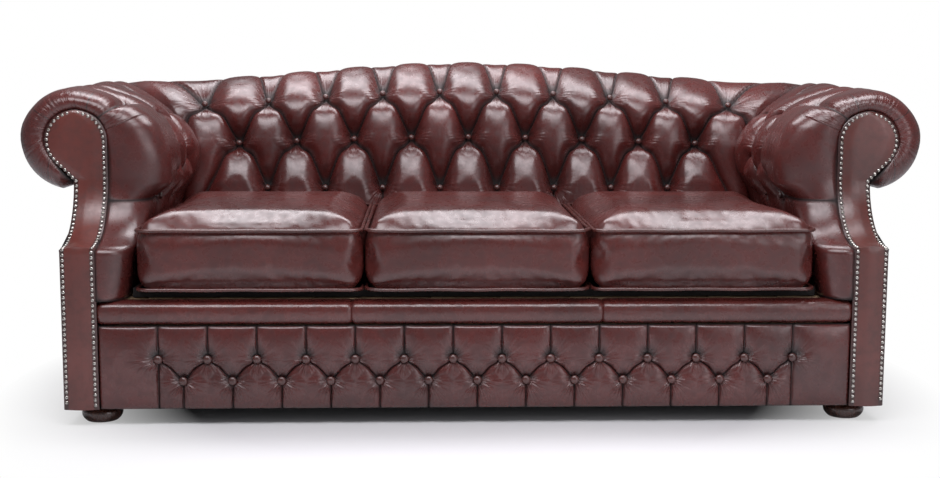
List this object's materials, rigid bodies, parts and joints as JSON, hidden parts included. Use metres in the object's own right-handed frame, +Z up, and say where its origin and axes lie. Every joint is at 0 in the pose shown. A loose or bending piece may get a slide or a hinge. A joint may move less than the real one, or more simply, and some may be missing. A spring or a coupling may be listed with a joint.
{
  "type": "chesterfield sofa",
  "caption": "Long sofa with a deep-buttoned back and rolled scroll arms, loose piped seat cushions, a buttoned front panel, nail-trimmed facings and bun feet.",
  "frame": {"origin": "on the floor under the middle of the sofa's overall length and depth", "axes": "+X to the right along the sofa as its sitter's visitor sees it, +Y from the front to the back, +Z up"},
  "size_m": [2.0584, 0.8819, 0.8011],
  "materials": {
    "leather": "glossy antique, darker in the folds",
    "button_leather": "glossy antique",
    "cushion_leather": "glossy antique",
    "piping_leather": "glossy antique",
    "foam": "matte foam",
    "frame_wood": "planed beech",
    "foot_wood": "dark polished mahogany",
    "nail_metal": "antique pewter-coloured plating",
    "steel": "zinc plated",
    "webbing": "woven jute",
    "platform_cloth": "matte lining cloth over padding",
    "lining": "black non-woven cloth"
  },
  "bodies": {
    "sofa": {"back_pad": "leather", "left_arm_pad": "leather", "right_arm_pad": "leather", "front_base_panel": "leather", "front_lip": "leather", "left_facing": "leather", "right_facing": "leather", "left_outside_arm_panel": "leather", "right_outside_arm_panel": "leather", "outside_back_panel": "leather", "back_buttons": "button_leather", "left_arm_buttons": "button_leather", "right_arm_buttons": "button_leather", "base_buttons": "button_leather", "front_rail": "frame_wood", "rear_rail": "frame_wood", "spring_rail": "frame_wood", "left_side_rail": "frame_wood", "right_side_rail": "frame_wood", "foot_blocks": "frame_wood", "back_top_rail": "frame_wood", "back_posts": "frame_wood", "left_corner_post": "frame_wood", "right_corner_post": "frame_wood", "left_arm_stump": "frame_wood", "right_arm_stump": "frame_wood", "left_scroll_core": "frame_wood", "right_scroll_core": "frame_wood", "front_feet": "foot_wood", "rear_feet": "foot_wood", "foot_bolts": "steel", "foot_tee_nuts": "steel", "left_facing_nails": "nail_metal", "right_facing_nails": "nail_metal", "seat_webbing_lengthwise": "webbing", "seat_webbing_crosswise": "webbing", "seat_deck": "platform_cloth", "dust_cover": "lining"},
    "left_cushion": {"left_cushion_cover": "cushion_leather", "left_cushion_foam": "foam", "left_cushion_piping": "piping_leather"},
    "middle_cushion": {"middle_cushion_cover": "cushion_leather", "middle_cushion_foam": "foam", "middle_cushion_piping": "piping_leather"},
    "right_cushion": {"right_cushion_cover": "cushion_leather", "right_cushion_foam": "foam", "right_cushion_piping": "piping_leather"}
  },
  "joints": [
    {"name": "left_cushion_pull", "type": "slide", "parent": "sofa", "child": "left_cushion", "axis": [0, -1, 0], "range_m": [0, 0.62]},
    {"name": "middle_cushion_pull", "type": "slide", "parent": "sofa", "child": "middle_cushion", "axis": [0, -1, 0], "range_m": [0, 0.62]},
    {"name": "right_cushion_pull", "type": "slide", "parent": "sofa", "child": "right_cushion", "axis": [0, -1, 0], "range_m": [0, 0.62]}
  ]
}
